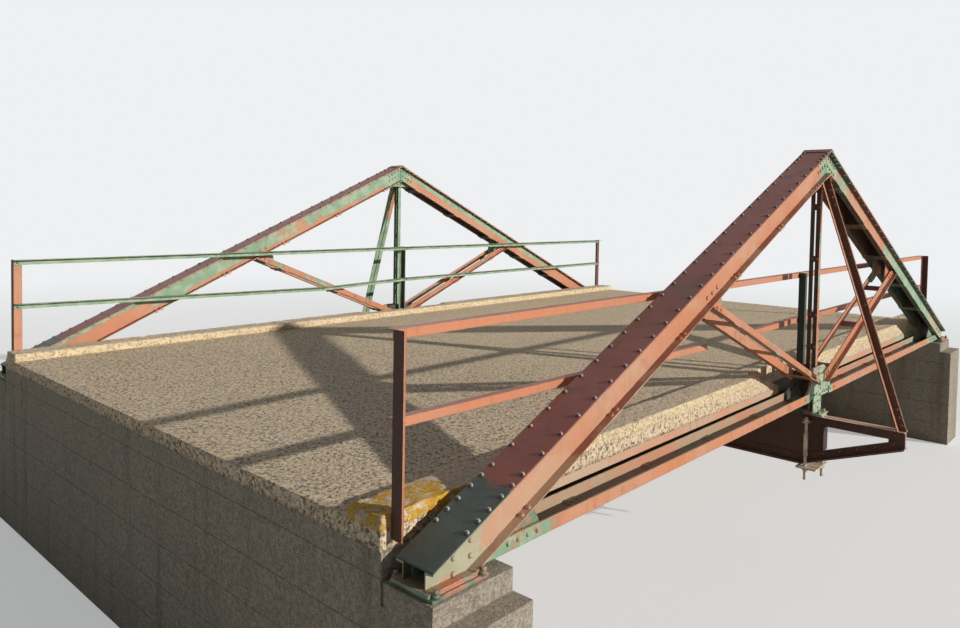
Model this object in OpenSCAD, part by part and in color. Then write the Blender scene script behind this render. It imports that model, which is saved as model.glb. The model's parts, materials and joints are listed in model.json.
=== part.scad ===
// Riveted steel kingpost pony truss road bridge with a concrete deck.
// X runs along the road, Y across it, Z is up. The origin is at mid span, on the
// centreline, at the foot of the abutments. Near is -Y, far is +Y, west is -X.

/* [Trusses] */
// Distance between the two truss planes
truss_spacing = 6096; // [5600:4:7600]
// Distance from mid span to the end of each truss
truss_half = 5200; // [4900:10:5600]
// Slope of the inclined chords in degrees
chord_angle = 23.68; // [22.5:0.01:24.2]
// Depth from the top of the chord to its soffit at the end of the truss
end_depth = 94.5; // [80:0.5:140]

/* [Inclined chords] */
// Width of the riveted cover plate
cover_w = 254; // [240:1:300]
// Thickness of the cover plate
cover_t = 8; // [5:1:14]
// Depth of the chord channels
channel_h = 203; // [180:1:240]
// Thickness of the channel web
channel_web = 8; // [6:1:12]
// Flange thickness at the toe
flange_toe = 7; // [5:1:9]
// Flange thickness at the web
flange_root = 13; // [10:1:18]
// Half distance between the backs of the two channels
back_half = 71; // [66:1:80]
// Slot left between the two chords at the peak
peak_gap = 6; // [2:1:20]
// Length of a stay plate along the chord
stay_l = 110; // [60:5:180]
// Thickness of a stay plate
stay_t = 8; // [5:1:12]
// Distance from the peak to the first stay plate
stay_first = 437; // [400:1:500]
// Distance between stay plates
stay_pitch = 915; // [800:5:950]
// Number of stay plates on each chord
stay_count = 5; // [1:1:5]
// Length of each wing of the ridge cap
ridge_l = 70; // [40:1:160]
// Thickness of the ridge cap
ridge_t = 6; // [3:1:10]

/* [Gusset plates] */
// Thickness of the gusset plates
gusset_t = 10; // [6:1:14]
// Thickness of the packing between gussets and angles
packing_t = 18; // [10:1:24]
// Half width of the apex gusset under the chords
apex_gusset_half = 300; // [240:5:380]
// Half width of the straight lower edge of the apex gusset
apex_gusset_low = 190; // [150:5:220]
// Half width of the gusset at the foot of the kingpost
foot_gusset_half = 215; // [150:5:235]
// Height of the top of that gusset above the road
foot_gusset_top = 98; // [60:1:130]
// Half width of its stem down to the floor beam
stem_half = 105; // [60:1:130]
// Reach of the bent toe of the stem
toe_l = 70; // [40:1:90]
// Reach of the end gussets from the end of the truss
end_gusset_l = 850; // [700:5:950]

/* [Kingpost] */
// Distance over the backs of the two kingpost angles
king_w = 90; // [84:1:110]
// Leg of the kingpost angles along the bridge
king_leg_x = 51; // [40:1:64]
// Leg of the kingpost angles across the bridge
king_leg_y = 38; // [30:1:40]
// Distance of the back of the kingpost angles west of mid span
king_back = 8; // [0:1:30]
// Thickness of the kingpost, strut and chord angles
angle_t = 8; // [5:1:10]
// Height of a kingpost batten
king_batten_h = 60; // [30:1:100]

/* [Struts and lower chord] */
// Slope of the struts in degrees
strut_angle = 21.85; // [20:0.01:23]
// Height of the strut top edge at mid span, from the road
strut_foot_h = -17; // [-30:1:0]
// Upright leg of the strut angles
strut_leg = 76; // [60:1:84]
// Outstanding leg of the strut angles
strut_toe = 51; // [40:1:60]
// Distance from mid span to the foot of a strut
strut_start = 100; // [90:5:130]
// Leg of the lower chord angles
lower_leg = 76; // [60:1:90]
// Depth of the lower chord soffit below the road
lower_drop = 198; // [185:1:230]
// Distance from mid span to the inner end of the outer lower chord angle
outer_tie_end = 247; // [240:1:290]
// Distance from mid span to the inner end of the road side lower chord angle
road_tie_end = 362; // [300:1:400]
// Length of a batten plate
batten_l = 110; // [60:5:160]
// Distance between batten plates
batten_pitch = 900; // [800:5:905]

/* [Floor beam] */
// Depth of the floor beam between the trusses
beam_h = 492; // [420:1:560]
// Depth of the outrigger at its tip
tip_h = 165; // [140:1:260]
// Reach of the outrigger beyond the truss plane
outrigger_reach = 845; // [600:5:1000]
// Thickness of the floor beam web
beam_web = 10; // [8:1:16]
// Outstanding leg of the floor beam flange angles
beam_leg = 58; // [50:1:76]
// Upright leg of the floor beam flange angles
beam_upright = 92; // [64:1:110]
// Distance from the truss plane in to the point where the soffit of the beam starts to rise
beam_knee = 50; // [0:5:60]
// Distance from the truss plane to the opening in the web of the outrigger
web_end = 158; // [150:1:200]
// Length of the closed web at the tip of the outrigger
tip_web_l = 140; // [100:5:200]
// Leg of the outrigger brace angles
brace_leg = 64; // [50:1:80]
// Diameter of the hanger rods
rod_d = 28; // [20:1:32]
// Thickness of the plate under the floor beam
yoke_t = 16; // [10:1:24]
// Length of that plate along the bridge
yoke_l = 340; // [330:2:420]
// Width of that plate across the bridge
yoke_w = 187; // [184:1:260]
// Depth of the head of the outrigger brace below the apex
brace_drop = 315; // [290:5:380]

/* [Deck] */
// Height of the road above the foot of the abutments
road_z = 1650; // [1500:10:2400]
// Reach of the deck beyond the ends of the trusses
deck_over = 40; // [40:5:300]
// Clearance between the deck edge and the truss plane
deck_clear = 198; // [194:1:240]
// Thickness of the slab
slab_t = 100; // [80:1:140]
// Width of a curb
curb_w = 275; // [200:5:340]
// Height of a curb
curb_h = 78; // [50:1:150]
// Depth of the recess in the deck edge at the kingposts
recess_d = 120; // [90:5:160]
// Half length of the recess at the underside of the slab
recess_low = 276; // [240:1:400]
// Half length of the recess at the top of the curb
recess_high = 765; // [500:5:900]
// Depth of the stringers
stringer_h = 254; // [220:1:300]
// Width of the stringer flanges
stringer_w = 118; // [90:1:140]
// Number of stringers
stringer_count = 7; // [3:2:9]
// Distance from the deck edge to the outer stringers
stringer_inset = 300; // [260:5:400]
// Thickness of the seats between the stringers and the floor beam
seat_t = 22; // [10:1:40]
// Leg of the angle under the deck edge
edge_leg = 64; // [40:1:80]

/* [Railings] */
// Height of the top rail above the road
rail_h = 973; // [850:1:1150]
// Height of the middle rail above the road
mid_rail_h = 535; // [400:1:600]
// Leg of the rail angles
rail_leg = 51; // [40:1:64]
// Thickness of the rail angles
rail_t = 6; // [4:1:8]
// Leg of the rail posts
post_leg = 76; // [60:1:80]
// Distance from the end posts to the ends of the trusses
post_inset = 30; // [20:5:200]
// Dip of the bent middle rails
rail_dip = 70; // [0:1:90]
// Distance from mid span to the lowest point of the far middle rail
rail_dip_x = 1450; // [800:10:2400]
// Distance from mid span to the west end of the gap in the near middle rail
rail_gap_west = 1820; // [1500:10:2400]
// Distance from mid span to the east end of that gap
rail_gap_east = 1085; // [600:5:1400]

/* [Abutments] */
// Thickness of the abutment stem
abutment_t = 560; // [500:10:800]
// Reach of the abutment beyond the truss planes
abutment_over = 302; // [230:1:900]
// Thickness of the wall behind the stringers
backwall_t = 240; // [200:10:300]
// Thickness of the sole and bearing plates together
bearing_t = 36; // [24:1:60]

/* [Hidden] */
$fn = 32;

primer = "lightsalmon";
old_paint = "darkseagreen";
plum = "#5b3a3a";
concrete = "tan";

lower_z = road_z - lower_drop;
apex_z = lower_z + end_depth + truss_half * tan(chord_angle);
truss_y = truss_spacing / 2;
chord_h = channel_h + cover_t;
king_face = king_w / 2;
web_face = back_half - gusset_t;
pack_face = back_half + packing_t;
leg_face = pack_face + angle_t;
slab_z = road_z - slab_t;
stringer_z = slab_z - stringer_h;
beam_z = stringer_z - seat_t;
deck_y = truss_y - deck_clear;
deck_half = truss_half + deck_over;
post_x = truss_half - post_inset;
beam_flange = beam_web / 2 + beam_leg;
// Small clearance where a cut end meets another piece
fit = 2;
big = 20000;
// Heights of the kingpost battens above the road
king_battens = [250, 560, 1100, 1600];
// Places of the hanger rods, from mid span and from the truss plane outward
rod_places = [[-95, 8], [125, 92]];
// Distance from the outer rod to the end of the plate under the floor beam
yoke_edge = 65;

// Height of the top of the chord, and of its underside, at a distance x from mid span
function chord_top(x) = apex_z - x * tan(chord_angle);
function chord_under(x) = chord_top(x) - chord_h / cos(chord_angle);
// Distance from mid span at which a level meets the underside of the chord
function under_x(z) = (chord_under(0) - z) / tan(chord_angle);
// Height of a line parallel to the strut, a depth d below its top edge
function strut_z(x, d = 0) = road_z + strut_foot_h + x * tan(strut_angle) - d / cos(strut_angle);
// Distance from mid span at which that line meets the underside of the chord
function strut_end(d) = (chord_under(0) - strut_z(0, d)) / (tan(chord_angle) + tan(strut_angle));

// Moves the pattern, drawn for the far east quarter, to any quarter of the bridge
module quarter(near, west) {
    mirror([0, near ? 1 : 0, 0]) mirror([west ? 1 : 0, 0, 0]) children();
}
// The same on both sides of the road, or on both sides of mid span
module both_sides() {
    for (near = [false, true]) quarter(near, false) children();
}
module both_ends() {
    for (west = [false, true]) quarter(false, west) children();
}
// Places what is drawn about the truss plane
module on_truss() {
    translate([0, truss_y, 0]) children();
}
// Both sides of the truss plane
module pair() {
    children();
    mirror([0, 1, 0]) children();
}
// Extrudes a Y-Z profile along X
module along_x(l) {
    rotate([90, 0, 90]) linear_extrude(l) children();
}
// Plate with an X-Z outline between two distances from the truss plane
module plate_xz(y0, y1, points) {
    translate([0, y1, 0]) rotate([90, 0, 0]) linear_extrude(y1 - y0) polygon(points);
}
// Plate with a Y-Z outline, centred on mid span
module plate_yz(t, points) {
    translate([-t / 2, 0, 0]) along_x(t) polygon(points);
}
// Equal or unequal angle with its heel at the origin
module angle_profile(a, b, t) {
    polygon([[0, 0], [a, 0], [a, t], [t, t], [t, b], [0, b]]);
}

// Channel with its back at y = 0 and its flanges pointing to +Y, top at z = 0
module channel_profile() {
    w = cover_w / 2 - back_half;
    polygon([
        [0, 0], [w, 0], [w, -flange_toe], [channel_web, -flange_root],
        [channel_web, flange_root - channel_h], [w, flange_toe - channel_h],
        [w, -channel_h], [0, -channel_h]
    ]);
}
// Local frame of an inclined chord: X down the slope, top surface at z = 0
module chord_frame() {
    translate([0, 0, apex_z]) rotate([0, chord_angle, 0]) children();
}
// Everything between the peak, the end of the truss and its soffit
module chord_limits() {
    translate([peak_gap / 2, -big / 2, lower_z]) cube([truss_half - peak_gap / 2, big, big]);
}
module chord() {
    l = truss_half / cos(chord_angle) + chord_h;
    color(primer) on_truss() {
        intersection() {
            chord_frame() pair() translate([-chord_h, back_half, -cover_t]) along_x(l + chord_h)
                channel_profile();
            chord_limits();
        }
        chord_frame() for (i = [0 : stay_count - 1])
            translate([stay_first + i * stay_pitch - stay_l / 2, -cover_w / 2, -chord_h - stay_t])
                cube([stay_l, cover_w, stay_t]);
    }
}
module cover() {
    l = truss_half / cos(chord_angle) + chord_h;
    color(plum) on_truss() intersection() {
        chord_frame() translate([-chord_h, -cover_w / 2, -cover_t]) cube([l + chord_h, cover_w, cover_t]);
        chord_limits();
    }
}
module ridge_cap() {
    rise = ridge_t / cos(chord_angle);
    x = ridge_l * cos(chord_angle);
    color(plum) on_truss() plate_xz(-cover_w / 2, cover_w / 2, [
        [-x, chord_top(x)], [0, apex_z], [x, chord_top(x)],
        [x, chord_top(x) + rise], [0, apex_z + rise], [-x, chord_top(x) + rise]
    ]);
}
module apex_gussets() {
    x = apex_gusset_half;
    edge = 50;
    low = chord_under(apex_gusset_low);
    color(old_paint) on_truss() pair() plate_xz(web_face, back_half, [
        [-apex_gusset_low, low], [apex_gusset_low, low],
        [x, chord_under(x) + flange_root], [x, chord_top(x) - edge],
        [0, apex_z - edge], [-x, chord_top(x) - edge], [-x, chord_under(x) + flange_root]
    ]);
}

// Kingpost: two angles with battens between them, and fillers under the gussets
module kingpost() {
    low = beam_z + seat_t + gusset_t;
    high = apex_z - 150;
    fillers = [[low, road_z + foot_gusset_top - 20], [chord_under(0) + 30, high]];
    color(primer) on_truss() translate([-king_back, 0, 0]) {
        pair() {
            translate([0, king_face, low]) linear_extrude(high - low)
                mirror([0, 1, 0]) angle_profile(king_leg_x, king_leg_y, angle_t);
            for (f = fillers) translate([0, king_face, f[0]])
                cube([king_leg_x, web_face - king_face, f[1] - f[0]]);
        }
        for (h = king_battens) translate([angle_t, angle_t - king_face, road_z + h])
            cube([angle_t, 2 * (king_face - angle_t), king_batten_h]);
    }
}

// Local frame of a strut: X up the slope, top edge at z = 0
module strut_frame() {
    translate([0, 0, road_z + strut_foot_h]) rotate([0, -strut_angle, 0]) children();
}
// Strut from the middle of a chord down to the foot of the kingpost: two angles with
// their lower legs turned outward, joined by battens under those legs
module strut() {
    batten_first = 300;
    outer = pack_face + strut_toe;
    length = strut_end(strut_leg) / cos(strut_angle);
    color(primer) on_truss() {
        pair() intersection() {
            strut_frame() along_x(length * 1.3) translate([pack_face, -strut_leg])
                angle_profile(strut_toe, strut_leg, angle_t);
            plate_xz(0, 2 * outer, [
                [strut_start, lower_z], [strut_start, chord_under(strut_start) - fit],
                [under_x(lower_z + fit), lower_z]
            ]);
        }
        strut_frame() for (x = [batten_first : batten_pitch : length - 2.5 * batten_l])
            translate([x, -outer, -strut_leg - angle_t]) cube([batten_l, 2 * outer, angle_t]);
    }
}
// Gussets and packing that join the struts of one truss to its chords
module strut_gussets() {
    seat = strut_leg - angle_t / 2;
    x0 = strut_end(0) - 190;
    x1 = strut_end(strut_leg) + 60;
    lap = 100;
    end = strut_end(strut_leg) - 10;
    color(old_paint) on_truss() both_ends() pair() {
        plate_xz(web_face, back_half, [
            [x0, strut_z(x0, seat)], [x0, strut_z(x0) + 10],
            [x0 + 60, chord_under(x0 + 60) + lap], [x1, chord_under(x1) + lap],
            [x1, chord_under(x1)], [end, strut_z(end, seat)]
        ]);
        plate_xz(back_half, pack_face, [
            [x0, strut_z(x0, seat)], [x0, strut_z(x0, fit)],
            [end - lap, strut_z(end - lap, fit)], [end - lap, strut_z(end - lap, seat)]
        ]);
    }
}

// One half of the lower chord: two angles joined by battens
module tie_angle(start) {
    top = lower_z + lower_leg;
    inner = lower_z + angle_t;
    plate_xz(pack_face, leg_face, [
        [start, lower_z], [start, top], [under_x(top) - fit, top], [under_x(lower_z) - fit, lower_z]
    ]);
    plate_xz(leg_face - lower_leg, leg_face, [
        [start, lower_z], [start, inner], [under_x(inner) - fit, inner], [under_x(lower_z) - fit, lower_z]
    ]);
}
module tie() {
    first = 1100;
    last = truss_half - end_gusset_l - batten_l;
    color(primer) on_truss() {
        tie_angle(outer_tie_end);
        mirror([0, 1, 0]) tie_angle(road_tie_end);
        for (x = [first : batten_pitch : last])
            translate([x, -pack_face, lower_z + angle_t]) cube([batten_l, 2 * pack_face, angle_t]);
    }
}

// Shoe: end gussets, packing behind the lower chord, sole plate and bearing plate
module shoe() {
    x0 = truss_half - end_gusset_l;
    x1 = truss_half - 50;
    foot = truss_half - 300;
    inner = lower_z + angle_t;
    top = lower_z + lower_leg;
    sole_l = 400;
    sole_over = 30;
    color(old_paint) on_truss() {
        pair() {
            plate_xz(web_face, back_half, [
                [x0, inner], [x0, top + 10], [x0 + 150, chord_top(x0 + 150) - 100],
                [x1, chord_top(x1) - 40], [x1, lower_z], [foot, lower_z], [foot, inner]
            ]);
            plate_xz(back_half, pack_face, [
                [x0, inner], [x0, top], [under_x(top) - fit, top], [under_x(inner) - fit, inner]
            ]);
        }
        translate([truss_half + sole_over - sole_l, -cover_w / 2, lower_z - bearing_t / 2])
            cube([sole_l, cover_w, bearing_t / 2]);
        translate([truss_half + sole_over - sole_l + 10, -cover_w / 2 - 20, lower_z - bearing_t])
            cube([sole_l - 20, cover_w + 40, bearing_t / 2]);
    }
}

// Gussets at the foot of the kingpost: a cross-shaped plate with packing outside it
// and a stem whose toe is bent outward onto the floor beam
module centre_gussets() {
    lap = 60;
    inner = lower_z + angle_t;
    tie_top = lower_z + lower_leg;
    top = road_z + foot_gusset_top;
    toe_z = beam_z + seat_t;
    w = foot_gusset_half;
    color(old_paint) on_truss() {
        for (side = [[outer_tie_end, 0], [road_tie_end, 1]]) mirror([0, side[1], 0]) {
            wing = side[0] + lap;
            plate_xz(web_face, back_half, [
                [-wing, inner], [-stem_half, inner], [-stem_half, toe_z], [stem_half, toe_z],
                [stem_half, inner], [wing, inner], [wing, tie_top], [w, tie_top + 40],
                [w, top - 35], [w - 60, top], [60 - w, top], [-w, top - 35],
                [-w, tie_top + 40], [-wing, tie_top]
            ]);
            plate_xz(back_half, pack_face, [
                [-wing, inner], [wing, inner], [wing, tie_top], [w, strut_z(w, strut_leg)],
                [w, strut_z(w, fit)], [strut_start, strut_z(strut_start, fit)],
                [-strut_start, strut_z(strut_start, fit)], [-w, strut_z(w, fit)],
                [-w, strut_z(w, strut_leg)], [-wing, tie_top]
            ]);
            translate([-stem_half, back_half, toe_z]) cube([2 * stem_half, toe_l, gusset_t]);
            translate([-beam_flange, web_face, beam_z]) cube([2 * beam_flange, gusset_t + toe_l, seat_t]);
        }
    }
}

// Hanger: two rods with nuts and sleeves, and the plate that carries the floor beam
module hanger() {
    bracket_z = beam_z - beam_leg - fit;
    plate_z = beam_z - beam_h;
    edge_x = rod_places[1].x + yoke_edge - yoke_l;
    edge_y = rod_places[1].y + yoke_edge / 2 - yoke_w;
    nut_h = 24;
    tail = 130;
    sleeve = [plate_z + 100, 220];
    nut_d = 1.9 * rod_d;
    color("dimgray") on_truss() {
        difference() {
            translate([edge_x, edge_y, plate_z - yoke_t]) cube([yoke_l, yoke_w, yoke_t]);
            for (p = rod_places) translate([p.x, p.y, plate_z - yoke_t - 1])
                cylinder(h = yoke_t + 2, d = rod_d + 2);
        }
        for (p = rod_places) {
            inner = beam_web / 2 + angle_t;
            w = abs(p.x) + rod_d - inner;
            difference() {
                translate([p.x > 0 ? inner : -inner - w, p.y - rod_d, bracket_z - angle_t])
                    cube([w, 2 * rod_d, angle_t]);
                translate([p.x, p.y, bracket_z - angle_t - 1]) cylinder(h = angle_t + 2, d = rod_d + 2);
            }
            translate([p.x, p.y, 0]) {
                translate([0, 0, plate_z - tail]) cylinder(h = bracket_z + 40 - plate_z + tail, d = rod_d);
                translate([0, 0, sleeve[0]]) cylinder(h = sleeve[1], d = 1.5 * rod_d, $fn = 6);
                for (z = [bracket_z, plate_z - yoke_t - nut_h]) translate([0, 0, z])
                    cylinder(h = nut_h, d = nut_d, $fn = 6);
            }
        }
    }
}

// Outer brace from the outrigger tip up to the apex: two angles back to back
module brace() {
    foot_y = truss_y + outrigger_reach - 60;
    head_y = truss_y + web_face + fit;
    head_z = apex_z - brace_drop;
    lean = (foot_y - head_y) / (head_z - beam_z);
    tilt = atan(lean);
    l = (head_z - beam_z) / cos(tilt) + 60;
    gap = gusset_t / 2;
    rise = chord_under(0);
    head_t = 10;
    lap = 160;
    ear = 120;
    color(primer) {
        intersection() {
            translate([0, foot_y, beam_z]) rotate([tilt, 0, 0]) translate([0, 0, -100])
                both_ends() translate([gap, 0, 0])
                    linear_extrude(l + 40) angle_profile(brace_leg, brace_leg, angle_t);
            translate([-big / 2, 0, beam_z]) cube([big, big, head_z - beam_z]);
        }
        plate_yz(gusset_t, [
            [head_y + lap * lean, head_z - lap], [head_y + lap * lean + brace_leg, head_z - lap],
            [truss_y + cover_w / 2, head_z], [truss_y + cover_w / 2, rise - head_t],
            [truss_y + back_half, rise - head_t], [truss_y + back_half, head_z]
        ]);
        both_ends() plate_xz(truss_y + back_half, truss_y + cover_w / 2, [
            [0, rise - head_t / cos(chord_angle)], [0, rise], [ear, chord_under(ear)],
            [ear, chord_under(ear) - head_t / cos(chord_angle)]
        ]);
    }
}

// Floor beam with a tapered outrigger past each truss. The web of an outrigger is open
// between its flanges, and closed again at the tip
module beam_band(t, d) {
    tip = truss_y + outrigger_reach;
    knee = truss_y - beam_knee;
    plate_yz(t, [[-tip, beam_z - d], [-tip, beam_z], [tip, beam_z], [tip, beam_z - d]]);
    plate_yz(t, [
        [-tip, beam_z - tip_h], [-knee, beam_z - beam_h], [knee, beam_z - beam_h],
        [tip, beam_z - tip_h], [tip, beam_z - tip_h + d], [knee, beam_z - beam_h + d],
        [-knee, beam_z - beam_h + d], [-tip, beam_z - tip_h + d]
    ]);
}
module floor_beam() {
    tip = truss_y + outrigger_reach;
    knee = truss_y - beam_knee;
    taper = (beam_h - tip_h) / (tip - knee);
    slit = 6;
    least = 15;
    y0 = truss_y + web_end;
    y1 = tip - max(tip_web_l, (2 * beam_upright + least - tip_h) / taper);
    low = [for (y = [y0, y1]) beam_z - tip_h - (tip - y) * taper + beam_upright];
    high = beam_z - beam_upright;
    stiffener_leg = beam_leg - 7;
    stiffener_low = low[0] + fit;
    color(primer) {
        difference() {
            plate_yz(beam_web, [
                [-tip, beam_z - slit], [tip, beam_z - slit], [tip, beam_z - tip_h],
                [knee, beam_z - beam_h], [-knee, beam_z - beam_h], [-tip, beam_z - tip_h]
            ]);
            both_sides() plate_yz(4 * beam_web, [[y0, high], [y1, high], [y1, low[1]], [y0, low[0]]]);
        }
        both_ends() intersection() {
            union() {
                beam_band(beam_web + 2 * angle_t, beam_upright);
                beam_band(2 * beam_flange, angle_t);
            }
            translate([beam_web / 2, -big / 2, 0]) cube([big, big, big]);
        }
        both_sides() both_ends() translate([beam_web / 2, y0, stiffener_low])
            linear_extrude(high - fit - stiffener_low) mirror([0, 1, 0])
                angle_profile(stiffener_leg, stiffener_leg, angle_t);
    }
}

module stringers() {
    l = 2 * (deck_half - backwall_t - 10);
    flange_t = 12;
    web = 8;
    edge_set = 5;
    outer = deck_y - stringer_inset;
    step = 2 * outer / (stringer_count - 1);
    color("darkolivegreen") {
        for (i = [0 : stringer_count - 1]) translate([0, i * step - outer, stringer_z]) {
            translate([-l / 2, 0, 0]) along_x(l) {
                translate([-stringer_w / 2, 0]) square([stringer_w, flange_t]);
                translate([-web / 2, 0]) square([web, stringer_h]);
                translate([-stringer_w / 2, stringer_h - flange_t]) square([stringer_w, flange_t]);
            }
            translate([-beam_flange, -stringer_w / 2, -seat_t]) cube([2 * beam_flange, stringer_w, seat_t]);
        }
        both_sides() both_ends() translate([recess_low, deck_y - edge_set, slab_z])
            mirror([0, 1, 0]) mirror([0, 0, 1])
                along_x(l / 2 - recess_low) angle_profile(edge_leg, edge_leg, angle_t);
    }
}

// Recess in the deck edge that lets the kingpost down past the slab
module recess() {
    rise = curb_h + slab_t;
    over = 10;
    plate_xz(deck_y - recess_d, deck_y + over, [
        [-recess_low, slab_z - over], [recess_low, slab_z - over], [recess_low, slab_z],
        [recess_high, slab_z + rise], [recess_high, slab_z + rise + over],
        [-recess_high, slab_z + rise + over], [-recess_high, slab_z + rise], [-recess_low, slab_z]
    ]);
}
module deck_slab() {
    color(concrete) difference() {
        translate([-deck_half, -deck_y, slab_z]) cube([2 * deck_half, 2 * deck_y, slab_t]);
        pair() recess();
    }
}
module curb() {
    color(concrete) difference() {
        translate([-deck_half, deck_y - curb_w, road_z]) along_x(2 * deck_half)
            polygon([[0, 0], [10, curb_h - 12], [24, curb_h], [curb_w, curb_h], [curb_w, 0]]);
        recess();
    }
}

module rail(points) {
    for (i = [0 : len(points) - 2]) {
        a = points[i];
        b = points[i + 1];
        for (leg = [[rail_t, rail_leg], [rail_leg, rail_t]]) plate_xz(deck_y - leg[0], deck_y, [
            [a.x, a.y - leg[1]], [a.x, a.y], [b.x, b.y], [b.x, b.y - leg[1]]
        ]);
    }
}
// Top rail and sagging middle rail; the near middle rail has lost a length
module far_rails() {
    z = road_z + mid_rail_h;
    color(primer) {
        rail([[-post_x, road_z + rail_h], [post_x, road_z + rail_h]]);
        rail([[-post_x, z], [-rail_dip_x, z - rail_dip], [0, z - rail_dip / 3], [post_x, z]]);
    }
}
module near_rails() {
    z = road_z + mid_rail_h;
    color(primer) {
        rail([[-post_x, road_z + rail_h], [post_x, road_z + rail_h]]);
        rail([[-post_x, z], [-rail_gap_west, z - rail_dip / 2]]);
        rail([[-rail_gap_east, z - rail_dip / 3], [0, z - rail_dip / 6], [post_x, z]]);
    }
}
module end_posts() {
    low = slab_z + 45;
    both_ends() translate([post_x, deck_y, low]) linear_extrude(road_z + rail_h - low)
        mirror([1, 0, 0]) angle_profile(post_leg, post_leg, angle_t);
}
// The middle posts stand by the kingposts, each on a clip outside the foot of its truss
module far_rail_posts() {
    x = 15;
    leg = rail_leg;
    clip = 42;
    low = strut_z(strut_start, fit) - clip;
    color(primer) {
        end_posts();
        translate([x, deck_y + post_leg, low]) linear_extrude(road_z + rail_h - low)
            mirror([1, 0, 0]) mirror([0, 1, 0]) angle_profile(leg, post_leg, angle_t);
        translate([x - leg, deck_y + post_leg, low])
            cube([leg, truss_y - pack_face - deck_y - post_leg, clip]);
    }
}
module near_rail_posts() {
    x = 165;
    leg = 64;
    outer = deck_y + leg;
    low = strut_z(x + rail_leg, strut_leg - angle_t) + fit;
    clip = 45;
    color(primer) {
        end_posts();
        translate([x, outer, low]) linear_extrude(road_z + rail_h - low)
            mirror([0, 1, 0]) angle_profile(rail_leg, leg, angle_t);
        translate([x, outer, low]) cube([rail_leg, truss_y - leg_face - outer, clip]);
    }
}

module abutment() {
    pad_w = 340;
    wall = deck_y + 10;
    half = truss_y + abutment_over;
    color(concrete) {
        translate([deck_half - abutment_t, -half, 0]) cube([abutment_t, 2 * half, stringer_z]);
        translate([deck_half - backwall_t, -wall, 0]) cube([backwall_t, 2 * wall, slab_z]);
        for (s = [-1, 1]) translate([deck_half - abutment_t, s * truss_y - pad_w / 2, 0])
            cube([abutment_t, pad_w, lower_z - bearing_t]);
    }
}

quarter(true, true) chord();  // near_west_chord
quarter(true, false) chord();  // near_east_chord
quarter(false, true) chord();  // far_west_chord
quarter(false, false) chord();  // far_east_chord
quarter(true, true) cover();  // near_west_cover
quarter(true, false) cover();  // near_east_cover
quarter(false, true) cover();  // far_west_cover
quarter(false, false) cover();  // far_east_cover
quarter(true, true) strut();  // near_west_strut
quarter(true, false) strut();  // near_east_strut
quarter(false, true) strut();  // far_west_strut
quarter(false, false) strut();  // far_east_strut
quarter(true, true) tie();  // near_west_tie
quarter(true, false) tie();  // near_east_tie
quarter(false, true) tie();  // far_west_tie
quarter(false, false) tie();  // far_east_tie
quarter(true, true) shoe();  // near_west_shoe
quarter(true, false) shoe();  // near_east_shoe
quarter(false, true) shoe();  // far_west_shoe
quarter(false, false) shoe();  // far_east_shoe
both_sides() ridge_cap();  // ridge_caps
quarter(true, false) apex_gussets();  // near_apex_gussets
apex_gussets();  // far_apex_gussets
quarter(true, false) strut_gussets();  // near_strut_gussets
strut_gussets();  // far_strut_gussets
quarter(true, false) kingpost();  // near_kingpost
kingpost();  // far_kingpost
quarter(true, false) centre_gussets();  // near_centre_gussets
centre_gussets();  // far_centre_gussets
quarter(true, false) brace();  // near_brace
brace();  // far_brace
quarter(true, false) hanger();  // near_hanger
hanger();  // far_hanger
quarter(true, false) near_rail_posts();
far_rail_posts();
quarter(true, false) near_rails();
far_rails();
floor_beam();
stringers();
deck_slab();
quarter(true, false) curb();  // near_curb
curb();  // far_curb
quarter(false, true) abutment();  // west_abutment
abutment();  // east_abutment
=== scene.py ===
import json
import math

import bmesh
import bpy
from mathutils import Matrix, Vector, noise
from mathutils.bvhtree import BVHTree


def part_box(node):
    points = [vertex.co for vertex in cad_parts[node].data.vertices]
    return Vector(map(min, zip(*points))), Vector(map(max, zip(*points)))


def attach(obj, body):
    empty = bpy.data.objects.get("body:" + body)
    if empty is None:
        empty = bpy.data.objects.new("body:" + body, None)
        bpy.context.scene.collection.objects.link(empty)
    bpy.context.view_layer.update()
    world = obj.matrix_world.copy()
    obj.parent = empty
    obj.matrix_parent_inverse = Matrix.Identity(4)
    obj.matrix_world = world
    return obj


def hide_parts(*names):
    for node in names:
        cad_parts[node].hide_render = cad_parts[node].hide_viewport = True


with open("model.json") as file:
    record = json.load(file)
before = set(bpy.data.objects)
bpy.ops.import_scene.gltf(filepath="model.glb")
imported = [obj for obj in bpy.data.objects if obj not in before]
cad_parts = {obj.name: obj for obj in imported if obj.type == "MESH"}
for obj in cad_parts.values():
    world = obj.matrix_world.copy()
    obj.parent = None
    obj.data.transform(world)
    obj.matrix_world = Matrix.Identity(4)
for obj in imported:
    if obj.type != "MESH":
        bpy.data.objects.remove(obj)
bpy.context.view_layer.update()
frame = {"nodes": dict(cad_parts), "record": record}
nodes = frame["nodes"]
slot_of = {part["node"]: part["material_slot"] for part in frame["record"]["subparts"]}

# Sizes of the bridge in metres, the same as in the CAD source.
# X runs along the road, Y across it and Z up. Near is -Y, far is +Y, west is -X.
# LOWER_Z is the soffit of the lower chords, BEAM_Z the top of the floor beam and SLAB_Z the
# soffit of the slab. LEG_FACE is how far the legs of two angles reach from the middle of the
# plate between them.
ROAD_Z = 1.650
TRUSS_Y = 3.048
TRUSS_HALF = 5.200
CHORD_ANGLE = math.radians(23.68)
SLOPE = math.tan(CHORD_ANGLE)
LOWER_Z = 1.452
END_DEPTH = 0.0945
APEX_Z = LOWER_Z + END_DEPTH + TRUSS_HALF * SLOPE
CHORD_H = 0.211
STAY_T = 0.008
STAY_FIRST = 0.437
STAY_PITCH = 0.915
STAY_COUNT = 6
STRUT_ANGLE = math.radians(21.85)
STRUT_TOP = ROAD_Z - 0.017
STRUT_LEG = 0.076
BATTEN_T = 0.008
KING_BACK = 0.008
BEAM_Z = 1.274
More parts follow.
